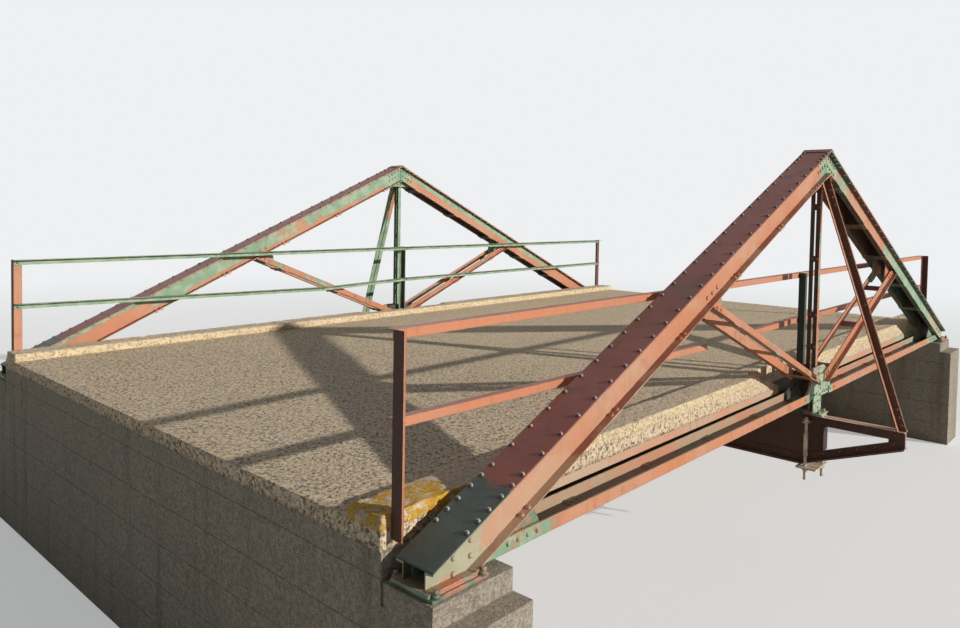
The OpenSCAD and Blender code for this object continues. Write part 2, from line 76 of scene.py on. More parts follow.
BEAM_H = 0.492
LEG_FACE = 0.013
BEAM_KNEE = 0.050
OUTRIGGER = 0.845
OUTRIGGER_TIP_H = 0.165
BRACE_DROP = 0.315
YOKE_T = 0.016
SLAB_Z = 1.550
DECK_Y = 2.850
POST_X = 5.170
RAIL_Z = ROAD_Z + 0.973
MID_RAIL_Z = ROAD_Z + 0.535

# Distances of plate faces from the truss plane: gussets, channel webs, packing and angles
GUSSET_FACE = 0.071
GUSSET_BACK = 0.061
WEB_FACE = 0.079
PACKING_FACE = 0.089
ANGLE_FACE = 0.097

# Camera, fitted to the photograph
PHOTO_W_PX = 960
PHOTO_H_PX = 628
FOCAL_PX = 759.0
CENTRE_Y_PX = 236.5
SENSOR_MM = 36.0
YAW = math.radians(42.51)
PITCH = math.radians(2.13)
ROLL = math.radians(0.99)
CAMERA_AT = (-7.5764, -5.6093, RAIL_Z + 0.5906)

# Direction towards the key light, from the shadows on the deck, and the lamps of the studio
KEY_FROM = Vector((1.06, -2.66, 1.0))
KEY_STRENGTH = 3.2
KEY_SPREAD = math.radians(0.9)
KEY_COLOR = (1.0, 0.975, 0.94)
FILL_FROM = Vector((0.5, 1.0, 0.15))
FILL_STRENGTH = 0.7
FILL_SPREAD = math.radians(40)
SKY_COLOR = (0.80, 0.90, 1.0, 1)
SKY_STRENGTH = 0.13
BACKGROUND = (0.86, 0.87, 0.88, 1)
FLOOR_COLOR = (0.78, 0.78, 0.77, 1)
FLOOR_HALF = 140.0


def link(obj):
    bpy.context.scene.collection.objects.link(obj)
    return obj


def add_camera():
    data = bpy.data.cameras.new("camera")
    cam = link(bpy.data.objects.new("camera", data))
    forward = (math.cos(YAW) * math.cos(PITCH), math.sin(YAW) * math.cos(PITCH), -math.sin(PITCH))
    right = (math.sin(YAW), -math.cos(YAW), 0.0)
    up = (right[1] * forward[2] - right[2] * forward[1],
          right[2] * forward[0] - right[0] * forward[2],
          right[0] * forward[1] - right[1] * forward[0])
    c, s = math.cos(ROLL), math.sin(ROLL)
    tilted_right = [c * r + s * u for r, u in zip(right, up)]
    tilted_up = [c * u - s * r for r, u in zip(right, up)]
    cam.matrix_world = Matrix([
        [tilted_right[i], tilted_up[i], -forward[i], CAMERA_AT[i]] for i in range(3)
    ] + [[0, 0, 0, 1]])
    data.sensor_width = SENSOR_MM
    data.lens = FOCAL_PX / PHOTO_W_PX * SENSOR_MM
    data.shift_y = -(PHOTO_H_PX / 2 - CENTRE_Y_PX) / PHOTO_W_PX
    data.clip_end = 200
    bpy.context.scene.camera = cam


# Node graphs

class Graph:
    """A material or world node tree with short calls for the nodes used here."""

    def __init__(self, tree):
        self.tree = tree
        tree.nodes.clear()

    def add(self, kind, inputs=(), out=0, **settings):
        node = self.tree.nodes.new(kind)
        for key, value in settings.items():
            setattr(node, key, value)
        for key, value in dict(inputs).items():
            socket = node.inputs[key]
            if isinstance(value, bpy.types.NodeSocket):
                self.tree.links.new(value, socket)
            else:
                socket.default_value = value
        return node.outputs[out] if len(node.outputs) else None

    def math(self, op, a, b=0.0):
        return self.add("ShaderNodeMath", {0: a, 1: b}, operation=op)

    def sum(self, first, *rest):
        for item in rest:
            first = self.math("ADD", first, item)
        return first

    def times(self, first, *rest):
        for item in rest:
            first = self.math("MULTIPLY", first, item)
        return first

    def minus(self, a, b):
        return self.math("SUBTRACT", a, b)

    def inverse(self, mask):
        return self.minus(1.0, mask)

    def either(self, a, b):
        return self.math("MAXIMUM", a, b)

    def absolute(self, a):
        return self.math("ABSOLUTE", a)

    def step(self, value, low, high):
        """0 below low, 1 above high, smooth between them; low may be above high."""
        if low > high:
            return self.inverse(self.step(value, high, low))
        return self.add("ShaderNodeMapRange", {0: value, 1: low, 2: high, 3: 0.0, 4: 1.0},
                        interpolation_type="SMOOTHSTEP")

    def window(self, value, rise, fall):
        """1 between two ramps, each given as where it is 0 and where it is 1."""
        return self.times(self.step(value, *rise), self.step(value, *fall))

    def mix(self, fac, a, b, blend="MIX"):
        return self.add("ShaderNodeMix", {0: fac, 6: a, 7: b}, out=2,
                        data_type="RGBA", blend_type=blend)

    def tint(self, base, mask, amount, color, blend="MIX"):
        """The base with an amount of the colour where the mask is 1."""
        return self.mix(self.times(mask, amount), base, color, blend)

    def coords(self, stretch=(1, 1, 1), shift=(0, 0, 0)):
        point = self.add("ShaderNodeTexCoord", out=3)
        if stretch == (1, 1, 1) and shift == (0, 0, 0):
            return point
        return self.add("ShaderNodeMapping", {0: point, 1: shift, 3: stretch})

    def normal(self):
        return self.add("ShaderNodeNewGeometry", out=1)

    def split(self, vector):
        node = self.tree.nodes.new("ShaderNodeSeparateXYZ")
        self.tree.links.new(vector, node.inputs[0])
        return node.outputs

    def noise(self, vector, scale, detail=4.0, rough=0.55, distort=0.0):
        return self.add("ShaderNodeTexNoise", {
            "Vector": vector, "Scale": scale, "Detail": detail,
            "Roughness": rough, "Distortion": distort})

    def voronoi(self, vector, scale):
        """The distance from the middle of each cell."""
        return self.add("ShaderNodeTexVoronoi", {"Vector": vector, "Scale": scale})

    def cell_values(self, vector, scale):
        """Three values that are even over each cell of the same pattern."""
        return self.split(self.add("ShaderNodeTexVoronoi", {"Vector": vector, "Scale": scale}, out=1))

    def worn_edges(self, radius):
        """The rounded normal, and a mask that is 1 on edges and 0 on plain faces."""
        round_normal = self.add("ShaderNodeBevel", {"Radius": radius}, samples=4)
        turn = self.add("ShaderNodeVectorMath", {0: round_normal, 1: self.normal()}, out=1,
                        operation="DOT_PRODUCT")
        return round_normal, self.step(turn, 0.985, 0.88)

    def surface(self, color, rough, height, distance, strength=1.0, metallic=0.0, specular=0.4,
                normal=None):
        inputs = {"Height": height, "Distance": distance, "Strength": strength}
        if normal:
            inputs["Normal"] = normal
        shader = self.add("ShaderNodeBsdfPrincipled", {
            "Base Color": color, "Roughness": rough, "Normal": self.add("ShaderNodeBump", inputs),
            "Metallic": metallic, "Specular IOR Level": specular})
        self.add("ShaderNodeOutputMaterial", {0: shader})


def material(name):
    mat = bpy.data.materials.new(name)
    mat.use_nodes = True
    return mat, Graph(mat.node_tree)


# Paint: salmon primer under remains of a light green coat

SALMON = (0.68, 0.275, 0.145, 1)
SALMON_PALE = (0.68, 0.34, 0.205, 1)
SALMON_DEEP = (0.48, 0.155, 0.070, 1)
GREEN = (0.28, 0.43, 0.27, 1)
GREEN_PALE = (0.43, 0.56, 0.39, 1)
PLUM = (0.275, 0.080, 0.061, 1)
PLUM_PALE = (0.36, 0.118, 0.090, 1)
PLUM_DEEP = (0.12, 0.05, 0.042, 1)
PLUM_GREEN = (0.062, 0.088, 0.072, 1)
PLUM_GREEN_PALE = (0.085, 0.11, 0.09, 1)
RUST = (0.13, 0.048, 0.022, 1)
RUST_BRIGHT = (0.40, 0.17, 0.055, 1)
GRIME = (0.035, 0.026, 0.020, 1)
GRAIN = (0.05, 0.035, 0.03, 1)
# Painted shade for the faces towards -x
WEST_SHADE = (0.045, 0.022, 0.018, 1)
# Painted shade between the channels of the chords and under them
HIDDEN_SHADE = (0.030, 0.029, 0.023, 1)
# Painted shade on the lying legs of the lower chords
OLIVE_SHADE = (0.085, 0.080, 0.052, 1)
# Painted shade: the colour that faces which look up take on the chords, struts and rails
TOP_SHADE = (0.24, 0.085, 0.055, 1)
# Painted highlight for the upper edges of the upright legs of the lower chords
CREAM_HIGHLIGHT = (0.85, 0.66, 0.45, 1)
# Painted light: the pale colour of the faces that look up on the floor beam
BEAM_TOP_LIT = (0.80, 0.56, 0.42, 1)

# Primers of three tones and coats of two
PRIMER = (SALMON, SALMON_PALE, SALMON_DEEP)
COAT = (GREEN, GREEN_PALE)
COVER_PRIMER = (PLUM, PLUM_PALE, PLUM_DEEP)
COVER_COAT = (PLUM_GREEN, PLUM_GREEN_PALE)
# Paler colours for rivet heads, a painted highlight
HEAD_PRIMER_LIT = ((0.66, 0.43, 0.35, 1), (0.74, 0.55, 0.47, 1), (0.42, 0.20, 0.16, 1))
HEAD_COAT_LIT = ((0.42, 0.52, 0.45, 1), (0.55, 0.63, 0.56, 1))
TIE_PRIMER = ((0.70, 0.27, 0.12, 1), SALMON_PALE, SALMON_DEEP)
RAIL_PRIMER = ((0.73, 0.28, 0.145, 1), (0.70, 0.32, 0.19, 1), (0.50, 0.16, 0.07, 1))
# Painted shade: a dark primer for the floor beam, which hangs in the shade of the deck
BEAM_SHADED_PRIMER = ((0.20, 0.085, 0.055, 1), (0.30, 0.14, 0.09, 1), (0.11, 0.05, 0.035, 1))
SHOE_COAT = ((0.19, 0.28, 0.19, 1), (0.30, 0.40, 0.28, 1))
GUSSET_COAT = (GREEN_PALE, (0.48, 0.59, 0.43, 1))


def paint(name, green=-0.3, field=None, primer=PRIMER, coat=COAT, dark_top=0.35, top=None,
          grime=0.25, rust=0.5, patches=0.6, west=0.0, west_at=(-0.5, -0.85), extra=None, edge_wear_and_shade=0.70):
    """green: how much of the coat is left, from about -1 (none) to 1 (all). field adds to it by place.
    dark_top, top: how much of the colour top the faces take that look up; painted shade on most pieces and
    painted light on the floor beam.
    patches, grime, rust: how much of the deep primer, of dark streaks and of rust shows.
    west: how much painted shade the faces towards -x take. extra changes the colour by place.
    edge_wear_and_shade: how dark the edges and creases are; wear on the edges and painted shade in the
    creases."""
    mat, g = material(name)
    at = g.coords()
    place = g.split(at)
    broad = g.noise(at, 1.3, 3, 0.5)
    patch = g.noise(at, 4.5, 7, 0.62, 0.35)
    fine = g.noise(at, 38, 6, 0.7)
    grain = g.noise(at, 260, 3, 0.6)
    base = g.mix(g.step(broad, 0.35, 0.68), primer[0], primer[1])
    base = g.tint(base, g.step(patch, 0.50, 0.72), patches, primer[2])
    # Green coat where it has not worn off, with ragged edges
    left = g.sum(g.times(patch, 1.5), g.times(broad, 1.6), g.times(fine, 0.55), green - 1.9)
    if field:
        left = g.sum(left, field(g, *place))
    coat_mask = g.step(left, -0.06, 0.10)
    coat_color = g.mix(g.step(g.noise(at, 7, 5, 0.6), 0.4, 0.62), coat[0], coat[1])
    base = g.mix(coat_mask, base, coat_color)
    # Streaks that run down, and thin rust in specks and at the edges of the coat
    streak = g.noise(g.coords((1, 1, 0.12), (3, 1, 0)), 26, 5, 0.6)
    base = g.tint(base, g.step(streak, 0.50, 0.78), grime, GRIME)
    coat_edge = g.window(left, (-0.30, -0.02), (0.10, -0.02))
    specks = g.step(g.noise(at, 95, 4, 0.75), 0.60, 0.70)
    rusty = g.either(g.times(coat_edge, 0.35 * rust), g.times(specks, rust))
    base = g.mix(rusty, base, RUST)
    # Painted light and shade by facing: faces that look up take the colour top, darker on most pieces and
    # pale on the floor beam; faces that look down and faces towards -x are darker
    normal = g.split(g.normal())
    base = g.tint(base, g.step(normal[2], 0.25, 0.85), dark_top, top or primer[2])
    # Painted shade: faces that look down take a dark rust colour
    base = g.tint(base, g.step(normal[2], -0.3, -0.9), 0.45, RUST)
    # Painted shade: faces towards -x take a near-black colour
    if west:
        base = g.tint(base, g.step(normal[0], *west_at), west, WEST_SHADE)
    if extra:
        base = extra(g, at, base, place, normal)
    # Worn edges are dark, and so are creases, which is painted shade; edges are pale only where the coat
    # ends
    round_normal, edges = g.worn_edges(0.005)
    edges = g.times(edges, g.step(fine, 0.30, 0.52))
    base = g.tint(base, edges, edge_wear_and_shade, coat_edge)
    base = g.tint(base, g.step(grain, 0.35, 0.75), 0.22, GRAIN)
    rough = g.sum(g.times(fine, 0.25), g.times(rusty, 0.2), 0.42)
    height = g.sum(g.times(grain, 0.25), g.times(fine, 0.6), g.times(coat_mask, 0.35),
                   g.times(rusty, -0.6))
    g.surface(base, rough, height, 0.0012, specular=0.35, normal=round_normal)
    return mat


def far_side(g, y):
    return g.step(y, -0.5, 0.5)


def near_side(g, y):
    return g.step(y, 0.5, -0.5)


def truss_field(g, x, y, z):
    """More of the green coat at the peaks and the near feet; three chords have a pattern of their own."""
    run = g.absolute(x)
    far = far_side(g, y)
    near = g.inverse(far)
    east = g.step(x, -0.2, 0.2)
    # How far a point is below the top of the chord
    depth = g.minus(g.minus(APEX_Z, g.times(run, SLOPE)), z)
    peak = g.step(run, 0.42, 0.10)
    foot = g.times(g.step(run, 4.60, 4.95), near)
    # The far west chord is green apart from its lower edge and its foot
    middle = g.window(depth, (0.05, 0.10), (0.20, 0.15))
    lower_edge = g.step(depth, 0.165, 0.185)
    bare_foot = g.times(g.step(run, 3.5, 4.2), g.step(depth, 0.05, 0.11))
    far_west = g.sum(g.times(middle, -0.12), g.times(lower_edge, -0.55), g.times(bare_foot, -1.2), 0.78)
    # The far east chord keeps the coat in a band along the upper half of its web
    band = g.window(depth, (0.018, 0.028), (0.125, 0.095))
    band = g.times(band, g.step(run, 4.2, 3.4))
    far_east = g.minus(g.times(band, 1.35), 0.40)
    far_part = g.sum(g.times(far_west, g.inverse(east)), g.times(far_east, east))
    # The near east chord is bare between a green top and a green lower half
    low_half = g.step(run, 1.7, 2.3)
    bare = g.times(g.step(run, 0.5, 0.9), g.inverse(low_half))
    near_east = g.sum(g.times(low_half, 0.65), g.times(bare, -0.4), 0.40)
    near_east = g.times(near_east, g.times(east, near))
    return g.sum(g.times(peak, 0.9), g.times(foot, 0.85), g.times(far_part, far), near_east)


def far_field(amount):
    """More of the green coat on the far side."""
    def field(g, x, y, z):
        return g.times(far_side(g, y), amount)
    return field


def cover_field(g, x, y, z):
    """The lower end of each cover plate is a dark grey green."""
    return g.times(g.step(g.absolute(x), 4.50, 4.92), 1.3)


def tie_field(g, x, y, z):
    """The lower chords get greener beside the kingposts and at their ends."""
    run = g.absolute(x)
    return g.sum(g.times(g.step(run, 0.50, 0.25), 0.8), g.times(g.step(run, 4.0, 4.5), 0.55))


def post_field(g, x, y, z):
    """The middle posts are green, and the far posts keep a little of it."""
    middle = g.step(g.absolute(x), 0.7, 0.6)
    return g.sum(g.times(middle, 1.6), g.times(far_side(g, y), 0.15))


def brace_field(g, x, y, z):
    """The far brace is green, apart from the east half of its upper part."""
    bare = g.times(g.step(x, 0.0, 0.01), g.step(z, 2.9, 3.1))
    return g.times(far_side(g, y), g.minus(1.25, g.times(bare, 1.5)))


def cover_extra(g, at, base, place, normal):
    """A browner stain some way up the plate, and bare rims on the far truss."""
    brown = (0.17, 0.095, 0.052, 1)
    stain = g.window(g.absolute(place[0]), (2.2, 2.8), (3.35, 3.0))
    stain = g.times(stain, g.step(g.noise(at, 3.0, 4, 0.6), 0.40, 0.58))
    base = g.tint(base, stain, 0.6, brown)
    rim = g.times(g.step(g.absolute(normal[1]), 0.7, 0.9), g.step(place[1], 0.0, 1.0))
    return g.tint(base, rim, 0.6, SALMON)


def chord_extra(g, at, base, place, normal):
    """Paler at the near feet and on the far flange tips, and painted shade between the channels and on
    faces that look down.
    """
    ochre = (0.62, 0.48, 0.31, 1)
    foot_pale = (0.66, 0.46, 0.31, 1)
    tip_pale = (0.80, 0.50, 0.34, 1)
    x, y, _ = place
    out = g.absolute(g.minus(g.absolute(y), TRUSS_Y))
    # Painted shade on the faces between the two channels and on faces that look down
    hidden = g.either(g.step(out, 0.0765, 0.0735), g.step(normal[2], -0.45, -0.75))
    blotch = g.step(g.noise(at, 2.1, 4, 0.6, 0.5), 0.50, 0.64)
    base = g.tint(base, blotch, 0.35, ochre)
    foot = g.times(g.step(g.absolute(x), 3.9, 4.7), near_side(g, y))
    base = g.tint(base, foot, 0.45, foot_pale)
    tips = g.times(g.step(out, 0.119, 0.123), g.step(y, 0.0, 1.0))
    base = g.tint(base, tips, 0.6, tip_pale)
    return g.tint(base, hidden, 0.80, HIDDEN_SHADE)


def tie_extra(g, at, base, place, normal):
    """The leg on the road side is pale pink and grey green; faces that look up take a dark olive painted
    shade, and the upper edges of the upright legs a painted cream highlight.
    """
    pink = (0.66, 0.33, 0.21, 1)
    grey_green = (0.50, 0.42, 0.29, 1)
    x, y, z = place
    road_side = g.step(g.absolute(y), TRUSS_Y - 0.02, TRUSS_Y - 0.04)
    blotch = g.step(g.noise(at, 1.7, 4, 0.6, 0.4), 0.42, 0.58)
    pale = g.mix(blotch, pink, grey_green)
    pale = g.tint(pale, g.step(x, 3.4, 4.2), 0.8, GREEN_PALE)
    base = g.tint(base, road_side, 0.75, pale)
    # Painted shade on the faces that look up, the lying legs above all
    up = g.step(normal[2], 0.5, 0.85)
    base = g.tint(base, up, 0.9, OLIVE_SHADE)
    # Painted highlight along the upper edges of the upright legs
    ridge = g.times(up, g.step(z, LOWER_Z + 0.045, LOWER_Z + 0.055))
    return g.tint(base, ridge, 0.85, CREAM_HIGHLIGHT)


def gusset_extra(g, at, base, place, normal):
    """The plate on the road side is nearly black, painted shade; the west part of the other one is salmon
    at the top.
    """
    bare_coat = (0.50, 0.30, 0.185, 1)
    stain = (0.075, 0.060, 0.042, 1)
    nearly_black = (0.030, 0.038, 0.030, 1)
    x, y, z = place
    road_side = g.step(g.absolute(y), TRUSS_Y - 0.03, TRUSS_Y - 0.05)
    ragged_x = g.sum(x, g.times(g.noise(at, 14, 4), 0.12))
    bare = g.times(g.step(ragged_x, 0.055, 0.045), g.step(z, 1.58, 1.62))
    base = g.tint(base, bare, 0.75, bare_coat)
    stains = g.step(g.noise(at, 26, 6, 0.75, 0.4), 0.53, 0.60)
    base = g.tint(base, stains, 0.75, stain)
    # Painted shade on the plate on the road side
    return g.tint(base, road_side, 0.85, nearly_black)


def post_extra(g, at, base, place, normal):
    """The posts at the east end are dark maroon, the near middle one is nearly black."""
    maroon = (0.105, 0.034, 0.027, 1)
    nearly_black = (0.020, 0.030, 0.022, 1)
    x, y, _ = place
    base = g.tint(base, g.step(x, 4.5, 4.6), 0.85, maroon)
    middle = g.times(g.step(g.absolute(x), 0.7, 0.6), near_side(g, y))
    return g.tint(base, middle, 0.85, nearly_black)


def strut_extra(g, at, base, place, normal):
    """Rust near the foot of each strut."""
    low = g.step(g.absolute(place[0]), 0.85, 0.35)
    spots = g.times(low, g.step(g.noise(at, 9, 5, 0.65), 0.42, 0.60))
    return g.tint(base, spots, 0.6, RUST_BRIGHT)


def beam_extra(g, at, base, place, normal):
    """The ends of the outriggers are pale, a painted highlight, and the stiffeners are dark, painted
    shade.
    """
    dark = (0.045, 0.024, 0.020, 1)
    tip_pale = (0.72, 0.56, 0.44, 1)
    out = g.absolute(place[1])
    # Painted shade on the stiffeners
    stiffener = g.times(g.step(g.absolute(normal[1]), 0.6, 0.8), g.step(out, 3.8, 3.7))
    base = g.tint(base, stiffener, 0.85, dark)
    # Painted highlight on the ends of the outriggers
    return g.tint(base, g.step(out, 3.884, 3.890), 0.75, tip_pale)


def stringer_paint(name):
    """Dark olive stringers; the angles under the deck edge keep a pale primer."""
    olive_pair = ((0.055, 0.058, 0.030, 1), (0.10, 0.055, 0.030, 1))
    pale_pair = ((0.64, 0.34, 0.22, 1), (0.58, 0.43, 0.30, 1))
    mat, g = material(name)
    at = g.coords()
    x, y, _ = g.split(at)
    edge_angle = g.step(g.absolute(y), 2.775, 2.780)
    broad = g.noise(at, 2.2, 4, 0.6, 0.4)
    fine = g.noise(at, 45, 6, 0.7)
    olive = g.mix(g.step(broad, 0.4, 0.65), *olive_pair)
    pale = g.mix(g.step(broad, 0.38, 0.62), *pale_pair)
    pale = g.tint(pale, g.step(x, 3.4, 4.2), 0.8, GREEN_PALE)
    streak = g.noise(g.coords((1, 1, 0.1)), 22, 5, 0.6)
    pale = g.tint(pale, g.step(streak, 0.55, 0.75), 0.25, RUST)
    olive = g.tint(olive, g.step(fine, 0.5, 0.75), 0.4, GRIME)
    pale = g.tint(pale, g.step(fine, 0.58, 0.75), 0.3, GRIME)
    base = g.mix(edge_angle, olive, pale)
    g.surface(base, g.sum(g.times(fine, 0.3), 0.5), fine, 0.001, specular=0.3)
    return mat


def iron(name):
    """Bare rusty rods, nuts and plates."""
    pale_pair = ((0.58, 0.43, 0.29, 1), (0.84, 0.73, 0.56, 1))
    rust_brown = (0.13, 0.070, 0.042, 1)
    mat, g = material(name)
    at = g.coords()
    broad = g.noise(at, 9, 5, 0.6, 0.5)
    fine = g.noise(at, 120, 6, 0.75)
    base = g.mix(g.step(broad, 0.38, 0.64), *pale_pair)
    base = g.tint(base, g.step(fine, 0.50, 0.74), 0.5, rust_brown)
    g.surface(base, g.sum(g.times(fine, 0.3), 0.5), fine, 0.0012, metallic=0.1, specular=0.4)
    return mat


# Concrete

DECK_COLORS = ((1.0, 0.73, 0.45, 1), (0.96, 0.72, 0.43, 1))
CURB_COLORS = ((1.0, 0.78, 0.54, 1), (1.0, 0.78, 0.46, 1))
ABUTMENT_COLORS = ((0.42, 0.36, 0.285, 1), (0.40, 0.345, 0.275, 1))
WASH = (0.42, 0.38, 0.33, 1)
OLD_STAIN = (0.50, 0.36, 0.20, 1)
MORTAR = (0.30, 0.22, 0.15, 1)
STONE_TONES = ((0.26, 0.19, 0.125, 1), (0.98, 0.84, 0.62, 1))
# Dark and pale coarse stones, partly painted shade and painted highlight for the shaded and lit sides of
# the stones
DARK_STONE_AND_SHADE = (0.085, 0.062, 0.046, 1)
PALE_STONE_AND_HIGHLIGHT = (1.0, 0.86, 0.66, 1)
# Painted shade in the pits
PIT_SHADE = (0.085, 0.055, 0.035, 1)
GLINT = (1.0, 0.84, 0.62, 1)
SAND = (0.92, 0.80, 0.62, 1)
FINE_CELLS = 85
COARSE_CELLS = 52
RAGGED = (0.010, 0.010, 0.010)


def fine_stones(g, spread, base, amount):
    """Stones of the aggregate, each with its own tone, in a darker mortar."""
    tone = g.cell_values(spread, FINE_CELLS)[0]
    stone = g.step(g.voronoi(spread, FINE_CELLS), 0.62, 0.45)
    shade = g.mix(g.step(tone, 0.15, 0.80), *STONE_TONES)
    base = g.tint(base, g.inverse(stone), 0.3 * amount, MORTAR)
    return g.tint(base, stone, amount, shade), tone, stone


def coarse_stones(g, spread, base, worn, amount):
    """Coarse stones, some dark and some pale, which are partly painted shade and painted highlight for the
    shaded and lit sides of stones; gives the mask of the dark ones too.
    """
    values = g.cell_values(spread, COARSE_CELLS)
    inside = g.step(g.voronoi(spread, COARSE_CELLS), 0.85, 0.60)
    lump = g.times(g.step(values[1], 0.42, 0.24), inside)
    chip = g.times(g.step(values[2], 0.58, 0.74), inside)
    base = g.mix(g.times(worn, g.times(lump, amount)), base, DARK_STONE_AND_SHADE)
    return g.tint(base, chip, amount, PALE_STONE_AND_HIGHLIGHT), lump


def pit_mask(g, at, z, up, grit, rim):
    """Small pits all over, and more of them on upright faces just above the height rim."""
    grain = g.sum(g.times(g.step(g.noise(at, 130, 4, 0.7), 0.44, 0.56), 0.6), 0.4)
    pit = g.times(g.step(g.noise(at, 40, 4, 0.65), 0.51, 0.58), grain)
    pit = g.either(pit, g.step(grit, 0.57, 0.61))
    if rim:
        band = g.times(g.step(z, rim + 0.030, rim + 0.004), g.inverse(up))
        pit = g.either(pit, g.times(band, g.step(g.noise(at, 46, 4, 0.7), 0.44, 0.52)))
    return pit


def lichen_on(g, at, base, place, patch, cover):
    """Gold lichen over a pink stain, at the west end of the near curb."""
    pink = (0.66, 0.46, 0.37, 1)
    golds = ((0.78, 0.37, 0.02, 1), (0.72, 0.50, 0.10, 1))
    end = g.times(g.step(place[0], -4.2, -4.8), g.step(place[1], -2.3, -2.5))
    base = g.tint(base, g.times(end, g.step(patch, 0.35, 0.6)), 0.7, pink)
    spots = g.sum(g.noise(at, 15, 6, 0.68, 0.6), g.minus(end, 1.0))
    spots = g.sum(spots, g.times(g.worn_edges(0.03)[1], 0.14))
    gold = g.mix(g.step(g.noise(at, 50, 3), 0.4, 0.6), *golds)
    return g.tint(base, g.step(spots, 0.455, 0.505), cover, gold)


def board_marks(g, at, base):
    """Marks of horizontal form boards and stains that run down; gives the mask of the marks too."""
    mark_dark = (0.16, 0.13, 0.10, 1)
    stain_dark = (0.16, 0.13, 0.095, 1)
    line = g.add("ShaderNodeTexWave", {"Vector": at, "Scale": 1.1, "Distortion": 0.4},
                 out=1, bands_direction="Z", wave_profile="SAW")
    mark = g.step(line, 0.965, 0.99)
    run = g.noise(g.coords((1, 1, 0.08)), 5, 6, 0.65)
    base = g.tint(base, mark, 0.35, mark_dark)
    return g.tint(base, g.step(run, 0.50, 0.72), 0.45, stain_dark), mark


def concrete(name, colors, stones, pits, lumps=0.0, east_sheen=0.0, lichen=0.0, boards=False, rim=None):
    """colors: of the faces that look up and of the others. stones, lumps: how much the fine and
    coarse aggregate show; the coarse stones are partly painted shade and highlight. pits: how much
    painted shade the pits take, and how strong the glints are. east_sheen: how much less of the dark
    spots the east part has, a painted sheen. rim: height of a ragged band of pits."""
    mat, g = material(name)
    at = g.coords()
    place = g.split(at)
    up = g.step(g.split(g.normal())[2], 0.4, 0.8)
    broad = g.noise(at, 0.9, 4, 0.55, 0.3)
    patch = g.noise(at, 5, 6, 0.65)
    grit = g.noise(at, 30, 7, 0.85)
    sand = g.noise(at, 190, 3, 0.7)
    base = g.mix(up, colors[1], colors[0])
    base = g.tint(base, g.step(broad, 0.38, 0.66), 0.12, WASH, "MULTIPLY")
    base = g.tint(base, g.step(patch, 0.48, 0.70), 0.14, OLD_STAIN)
    # Stones, whose outlines a fine noise makes ragged
    ragged = g.add("ShaderNodeTexNoise", {"Vector": at, "Scale": 90.0}, out=1)
    ragged = g.add("ShaderNodeVectorMath", {0: ragged, 1: RAGGED}, operation="MULTIPLY")
    spread = g.add("ShaderNodeVectorMath", {0: at, 1: ragged})
    # Painted sheen: from x -3.2 eastward the pits and dark stones fade, fully past x -0.4, so the east
    # part looks brighter
    worn = g.inverse(g.times(g.step(place[0], -3.2, -0.4), east_sheen))
    base, tone, stone = fine_stones(g, spread, base, stones)
    base, lump = coarse_stones(g, spread, base, worn, lumps)
    # Pits with painted shade in them, glints and bright sand
    pit = pit_mask(g, at, place[2], up, grit, rim)
    glint = g.step(g.noise(g.coords(shift=(7, 3, 5)), 48, 3, 0.6), 0.50, 0.58)
    base = g.mix(g.times(worn, g.times(pit, pits)), base, PIT_SHADE)
    base = g.tint(base, glint, 0.8 * pits, GLINT)
    base = g.tint(base, g.step(sand, 0.52, 0.75), 0.25, SAND)
    if lichen:
        base = lichen_on(g, at, base, place, patch, lichen)
    height = g.sum(g.times(grit, 0.8), g.times(sand, 0.25), g.times(stone, 0.5), g.times(tone, 0.3),
                   g.times(pit, -0.9), g.times(lump, -0.8 * lumps))
    if boards:
        base, mark = board_marks(g, at, base)
        height = g.sum(height, g.times(mark, -1.5))
    round_normal = g.worn_edges(0.012)[0]
    g.surface(base, g.sum(g.times(grit, 0.15), 0.78), height, 0.005, strength=0.8, specular=0.25,
              normal=round_normal)
    return mat


PAINT = {
    "chords": paint("chord_paint", -0.42, truss_field, dark_top=0.85, top=TOP_SHADE, patches=0.25,
                    grime=0.12, rust=0.35, extra=chord_extra),
    "covers": paint("cover_paint", -0.35, cover_field, COVER_PRIMER, COVER_COAT, dark_top=0.0,
                    grime=0.15, rust=0.35, extra=cover_extra),
    "struts": paint("strut_paint", -0.28, far_field(0.15), dark_top=0.85, top=TOP_SHADE,
                    extra=strut_extra),
    "ties": paint("tie_paint", -0.30, tie_field, TIE_PRIMER, dark_top=0.0, patches=0.35,
                  extra=tie_extra),
    "shoes": paint("shoe_paint", 0.25, coat=SHOE_COAT, grime=0.5),
    "apex_gussets": paint("apex_gusset_paint", 0.75),
    "strut_gussets": paint("strut_gusset_paint", 0.15, far_field(0.3)),
    "kingposts": paint("kingpost_paint", -0.05, far_field(0.8), dark_top=0.3, west=0.93),
    "centre_gussets": paint("centre_gusset_paint", 0.42, coat=GUSSET_COAT, extra=gusset_extra),
    "braces": paint("brace_paint", -0.40, brace_field, west=0.9),
    "hangers": iron("hanger_iron"),
    "rail_posts": paint("post_paint", -0.35, post_field, west=0.92, extra=post_extra),
    "rails": paint("rail_paint", -0.55, far_field(1.15), RAIL_PRIMER, dark_top=0.8, top=TOP_SHADE,
                   patches=0.35),
    "floor_beam": paint("beam_paint", -0.45, primer=BEAM_SHADED_PRIMER, dark_top=0.85, top=BEAM_TOP_LIT,
                        west=0.6, extra=beam_extra),
    "stringers": stringer_paint("stringer_paint"),
    "deck": concrete("deck_concrete", DECK_COLORS, 0.22, 0.72, lumps=0.76, east_sheen=0.55, rim=SLAB_Z),
    "curbs": concrete("curb_concrete", CURB_COLORS, 0.25, 0.58, lichen=0.97),
    "abutments": concrete("abutment_concrete", ABUTMENT_COLORS, 0.12, 0.18, boards=True),
}
